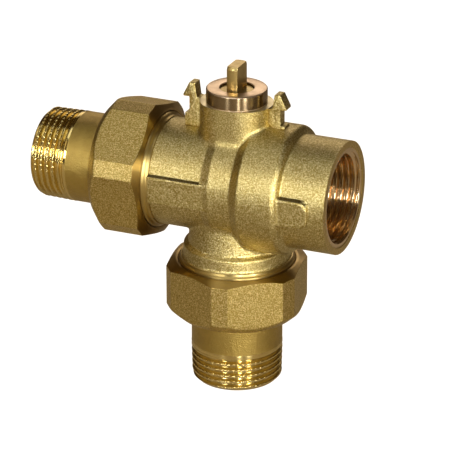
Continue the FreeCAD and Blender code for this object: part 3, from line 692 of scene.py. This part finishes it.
def make_nut(side, axis, collar_end, turn_deg):
    spokes = 720
    back = collar_end + 3.8
    front = back - NUT_LENGTH
    angle = whole_turn(spokes)
    walls = []
    for n in range(12):
        reach = HALF_CORNERS if n % 2 == 0 else HALF_FLATS
        lean = np.cos(angle - n * math.pi / 6)
        walls.append(np.where(lean > 0.5, reach / np.maximum(lean, 0.5), 99.0))
    hexagon = least(walls, 0.10)
    rows = np.concatenate((np.linspace(0, 2.2, 16), np.linspace(2.5, 15.5, 14),
                           np.linspace(15.9, NUT_LENGTH, 18)))
    turned_bevel = TURNED_BEVEL[0] + TURNED_BEVEL[1] * rows
    forged_bevel = FORGED_BEVEL[0] + FORGED_BEVEL[1] * (NUT_LENGTH - rows)
    body = merged(hexagon[:, None], forged_bevel[None, :], 0.55)
    out = merged(body, turned_bevel[None, :], 0.06)
    parts = [
        ([front + 0.3, front, front], [21.1, 21.35, 21.8]), (rows + front, out),
        ([back, back, back - 0.4, collar_end, collar_end], [19.5, 17.3, NUT_LAND, NUT_LAND, 20.6]),
        ([collar_end - 0.4, front + 10, front + 0.9], [NUT_BORE, NUT_BORE, NUT_BORE])]
    nut = add_object(f"union_nut_{side}_forged", mesh_of("nut", ring_of(parts, UP, spokes)))
    nut.data.transform(Matrix.Rotation(math.radians(turn_deg), 4, "Z"))
    stand_on(nut, axis)
    finished(nut, f"{side}_nut", ("forged_nut", "nut_bevel"), 26, f"union_nut_{side}")
    columns = sum(len(along) for along, _ in parts)
    spoke, row = np.divmod(np.arange(len(nut.data.polygons)), columns)
    row = row - len(parts[0][0])
    edge = np.clip(row, 0, len(rows) - 1)
    bevelled = (row < len(rows) - 1) & (turned_bevel[edge] < body[spoke, edge] - NEAR)
    choose_finishes(nut, bevelled | (row < 0) | (row > len(rows)))


# Hooks and pilot ring
SIDE_ON = Matrix(((1, 0, 0), (0, 0, -1), (0, 1, 0)))
HOOK_HALF_WIDTH, HOOK_WEAR = 2.25, 0.22


def make_hook(side, sign):
    profile = [(12.0, 10.0), (19.0, 10.0), (19.0, 24.0), (17.3, 24.0), (17.3, 30.1), (19.6, 30.1),
               (19.6, 30.8), (17.3, 35.4), (15.1, 35.4), (14.4, 30.2), (12.0, 29.6)]
    outline = [(x * sign, z) for x, z in profile]
    hook = add_object(f"snap_hook_{side}",
                      mesh_of("hook", prism(outline, -HOOK_HALF_WIDTH, HOOK_HALF_WIDTH, SIDE_ON)))
    bevel = hook.modifiers.new("worn", "BEVEL")
    bevel.width = HOOK_WEAR * MM
    bevel.segments = 2
    work_in_modifiers(hook)
    finished(hook, "valve", ("forged",), 40)


def make_pilot():
    parts = [([29.5, 29.5], [6.0, 10.85]),
             ([30.1, 30.35, 30.6, 32.0, 34.9], [10.85, 10.7, 10.85, 10.85, 10.85]),
             ([35.05, 35.3, 35.4], [10.83, 10.6, 10.4]), ([35.4, 35.4, 35.1], [8.0, 6.3, 6.0])]
    ring = add_object("pilot_ring", mesh_of("pilot", ring_of(parts, UP, 256)))
    finished(ring, "valve", ("pilot", "pilot_top"), 30)
    # Painted light: up-facing faces take the pale top finish, the sides the dark one.
    choose_finishes(ring, face_values(ring.data, "normal")[:, 2] > 0.5)


make_body()
make_socket_thread()
make_pilot()
make_spigot("lower", DOWN, 28.6, 40.6, 11.0, 20.6, 0.6)
make_spigot("left", ALONG_LEFT, 26.9, 39.3, 16.6, 20.2, 1.0)
make_hook("left", -1)
make_hook("right", 1)
make_tail("lower", DOWN, 42.6)
make_tail("left", ALONG_LEFT, 41.3)
make_nut("lower", DOWN, 45.8, 81.1)
make_nut("left", ALONG_LEFT, 44.5, 105.8)


# Camera as fitted to the photograph
VIEW_TURN, VIEW_RISE, VIEW_ROLL = math.radians(23.28), math.radians(23.28), math.radians(-0.15)
TARGET, VIEW_DISTANCE = Vector((-4.66, 0.0, BALL_HEIGHT - 17.93)) * MM, 1.1
FOCAL_PIXELS, PICTURE_PIXELS, SENSOR_WIDTH = 3078.6, 450, 36.0


def facing(target, turn, rise, distance):
    """Place that looks at a target, at a turn from the front towards the right and a rise above it."""
    away = Vector((math.sin(turn) * math.cos(rise), -math.cos(turn) * math.cos(rise), math.sin(rise)))
    return Matrix.Translation(target + away * distance) @ away.to_track_quat("Z", "Y").to_matrix().to_4x4()


lens = bpy.data.cameras.new("camera")
lens.sensor_width = SENSOR_WIDTH
lens.lens = FOCAL_PIXELS / PICTURE_PIXELS * SENSOR_WIDTH
lens.clip_start = 0.05
lens.clip_end = 20.0
camera = add_object("camera", lens)
camera.matrix_world = (facing(TARGET, VIEW_TURN, VIEW_RISE, VIEW_DISTANCE)
                       @ Matrix.Rotation(VIEW_ROLL, 4, "Z"))
bpy.context.scene.camera = camera


# Floor and light. The metal mirrors the floor's glow more weakly than the camera sees it, and the floor
# lies where the lower tailpiece comes down to when its union is undone
MIRRORED_FLOOR = 0.04
FLOOR_LEVEL = -10.5


def make_floor():
    """Pale round floor whose glow makes it white to the camera."""
    rings, spokes, radius = 24, 96, 3.0
    verts = [(0, 0, 0)]
    for ring in range(1, rings + 1):
        reach = radius * (ring / rings) ** 2
        verts += [(reach * math.cos(angle), reach * math.sin(angle), 0) for angle in whole_turn(spokes)]
    faces = [(0, 1 + s, 1 + (s + 1) % spokes) for s in range(spokes)]
    for ring in range(rings - 1):
        inner, outer = 1 + ring * spokes, 1 + (ring + 1) * spokes
        faces += [(inner + s, outer + s, outer + (s + 1) % spokes, inner + (s + 1) % spokes)
                  for s in range(spokes)]
    mesh = bpy.data.meshes.new("floor")
    mesh.from_pydata(verts, [], faces)
    floor = add_object("floor", mesh)
    floor.location.z = FLOOR_LEVEL * MM
    paint = Paint("pale_floor", 0.9)
    paint.set("Base Color", (0.44, 0.36, 0.25))
    paint.set("Specular IOR Level", 0.0)
    ray = [paint.node("ShaderNodeLightPath", {}, {}, name) for name in
           ("Is Camera Ray", "Is Glossy Ray", "Is Transmission Ray")]
    seen = ray[0].most(ray[1] * MIRRORED_FLOOR).most(ray[2])
    glow = paint.node("ShaderNodeEmission", {}, {"Color": (1, 1, 1), "Strength": seen})
    both = paint.node("ShaderNodeAddShader", {}, {0: Wire(paint, paint.shader.outputs[0]), 1: glow})
    output = paint.tree.nodes["Material Output"]
    paint.tree.links.new(both.socket, output.inputs["Surface"])
    mesh.materials.append(paint.material)


LIT_POINT, LAMP_DISTANCE = Vector((-0.005, 0.0, 0.06)), 1.15


def area_light(name, turn_deg, rise_deg, width, height, power, colour=(1, 1, 1)):
    light = bpy.data.lights.new(name, "AREA")
    light.shape = "RECTANGLE"
    light.size, light.size_y = width, height
    light.energy = power
    light.color = colour
    lamp = add_object(name, light)
    lamp.matrix_world = facing(LIT_POINT, math.radians(turn_deg), math.radians(rise_deg), LAMP_DISTANCE)


make_floor()
area_light("left_key", -12, 21, 0.18, 0.32, 4.1)
area_light("middle_key", 29, 22, 0.11, 0.14, 2.6)
area_light("right_key", 53, 13, 0.20, 0.30, 7.0)
area_light("low_fill", 29, 9, 0.09, 0.38, 3.8)
area_light("left_fill", -45, 34, 0.50, 0.60, 0.85, (1.0, 0.82, 0.56))
area_light("high_fill", -20, 72, 0.70, 0.60, 1.8)
area_light("right_fill", 112, 30, 0.50, 0.60, 0.2, (1.0, 0.78, 0.48))
area_light("back_fill", 198, 28, 0.80, 0.50, 1.8, (1.0, 0.86, 0.74))

world = bpy.data.worlds.new("studio")
bpy.context.scene.world = world
world.use_nodes = True
background = world.node_tree.nodes["Background"]
background.inputs["Color"].default_value = (0.05, 0.032, 0.014, 1.0)
background.inputs["Strength"].default_value = 1.0
bpy.context.scene.view_settings.view_transform = "Standard"
